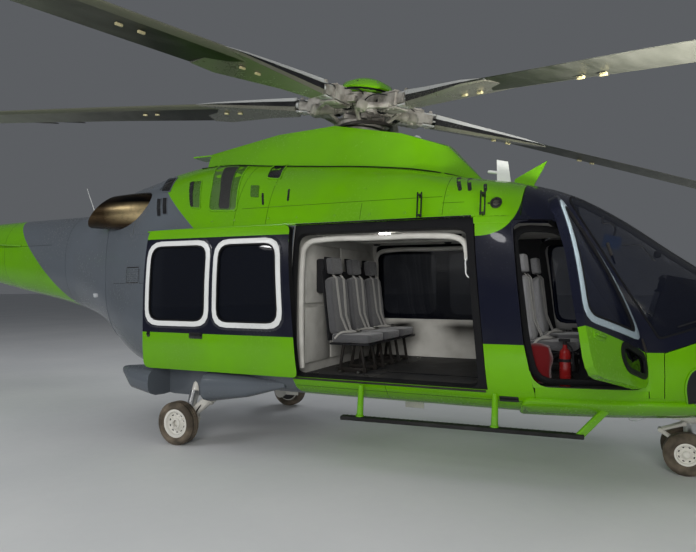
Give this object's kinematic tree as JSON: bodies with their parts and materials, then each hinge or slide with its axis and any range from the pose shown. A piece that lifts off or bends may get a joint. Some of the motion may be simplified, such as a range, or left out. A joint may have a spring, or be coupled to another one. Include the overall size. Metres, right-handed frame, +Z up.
{
  "type": "twin engine rescue helicopter",
  "caption": "Medium rescue helicopter parked on wheels, with opening cockpit doors, a slid-back cabin door, and free-turning main and tail rotors.",
  "frame": {"origin": "on the ground under the middle of the overall box, rotor blades included", "axes": "+X to the nose, +Y to port, +Z up; the main rotor axis crosses its hub at X 1.62, Y 0.10"},
  "size_m": [13.4111, 11.5797, 4.3181],
  "materials": {
    "green_paint": "gloss",
    "slate_paint": "gloss",
    "white_paint": "satin",
    "blade_paint": "satin",
    "bare_metal": "satin",
    "hub_metal": "satin",
    "hot_metal": "satin",
    "black_plastic": "matt",
    "seat_cloth": "matt",
    "tyre_rubber": "matt",
    "clear_glass": "clear",
    "cabin_lining": "matt",
    "red_paint": "gloss",
    "lamp_glass": "clear",
    "bright_metal": "polished"
  },
  "bodies": {
    "airframe": {"belly": "green_paint", "nose": "green_paint", "roof": "slate_paint", "windscreen_frame": "slate_paint", "aft_fuselage": "slate_paint", "engine_cowling": "green_paint", "mast_fairing": "green_paint", "engines": "bare_metal", "tail_boom": "green_paint", "tail_fin": "green_paint", "instrument_panel": "black_plastic", "cabin_seats": "seat_cloth", "nose_leg": "white_paint", "swashplate": "bare_metal", "tailplane_right": "green_paint", "pillar_right": "slate_paint", "windscreen_right": "clear_glass", "exhaust_right": "hot_metal", "step_right": "black_plastic", "main_leg_right": "white_paint", "pilot_seat_right": "seat_cloth", "cabin_door_right": "green_paint", "cabin_glass_right": "clear_glass", "tailplane_left": "green_paint", "pillar_left": "slate_paint", "windscreen_left": "clear_glass", "exhaust_left": "hot_metal", "step_left": "black_plastic", "main_leg_left": "white_paint", "pilot_seat_left": "seat_cloth", "cabin_door_left": "green_paint", "cabin_glass_left": "clear_glass"},
    "main_rotor": {"rotor_hub": "hub_metal", "rotor_cap": "green_paint", "rotor_blade_1": "blade_paint", "rotor_blade_2": "blade_paint", "rotor_blade_3": "blade_paint", "rotor_blade_4": "blade_paint", "rotor_blade_5": "blade_paint"},
    "tail_rotor_body": {"tail_rotor": "blade_paint"},
    "nose_steering": {"nose_fork": "white_paint"},
    "nose_wheels": {"nose_rims": "white_paint", "nose_tyre_right": "tyre_rubber", "nose_tyre_left": "tyre_rubber"},
    "main_wheel_right": {"main_rim_right": "white_paint", "main_tyre_right": "tyre_rubber"},
    "main_wheel_left": {"main_rim_left": "white_paint", "main_tyre_left": "tyre_rubber"},
    "cockpit_door_right_body": {"cockpit_door_right": "green_paint", "cockpit_glass_right": "clear_glass"},
    "cockpit_door_left_body": {"cockpit_door_left": "green_paint", "cockpit_glass_left": "clear_glass"},
    "baggage_door_body": {"baggage_door": "slate_paint"}
  },
  "joints": [
    {"name": "main_rotor_turn", "type": "hinge", "parent": "airframe", "child": "main_rotor", "pos_m": [1.62, 0.1, 3.49], "axis": [0.1271, 0, 0.9919], "continuous": true},
    {"name": "tail_rotor_turn", "type": "hinge", "parent": "airframe", "child": "tail_rotor_body", "pos_m": [-5.78, -0.23, 3.27], "axis": [0, 1, 0], "continuous": true},
    {"name": "nose_steer", "type": "hinge", "parent": "airframe", "child": "nose_steering", "pos_m": [4.655, 0.1, 0.4], "axis": [0, 0, 1], "range_deg": [-60, 60]},
    {"name": "nose_wheels_roll", "type": "hinge", "parent": "nose_steering", "child": "nose_wheels", "pos_m": [4.61, 0.1, 0.178], "axis": [0, 1, 0], "continuous": true},
    {"name": "main_wheel_right_roll", "type": "hinge", "parent": "airframe", "child": "main_wheel_right", "pos_m": [0.05, -1.02, 0.215], "axis": [0, 1, 0], "continuous": true},
    {"name": "main_wheel_left_roll", "type": "hinge", "parent": "airframe", "child": "main_wheel_left", "pos_m": [0.05, 1.22, 0.215], "axis": [0, 1, 0], "continuous": true},
    {"name": "cockpit_door_right_hinge", "type": "hinge", "parent": "airframe", "child": "cockpit_door_right_body", "pos_m": [4.31, -0.885, 1.05], "axis": [-0.3003, 0.0782, 0.9506], "range_deg": [-61, 9]},
    {"name": "cockpit_door_left_hinge", "type": "hinge", "parent": "airframe", "child": "cockpit_door_left_body", "pos_m": [4.31, 1.085, 1.05], "axis": [-0.3003, -0.0782, 0.9506], "range_deg": [-70, 0]},
    {"name": "baggage_door_hinge", "type": "hinge", "parent": "airframe", "child": "baggage_door_body", "pos_m": [1.005, 1.19, 1.4], "axis": [0, 0, 1], "range_deg": [-100, 0]}
  ]
}
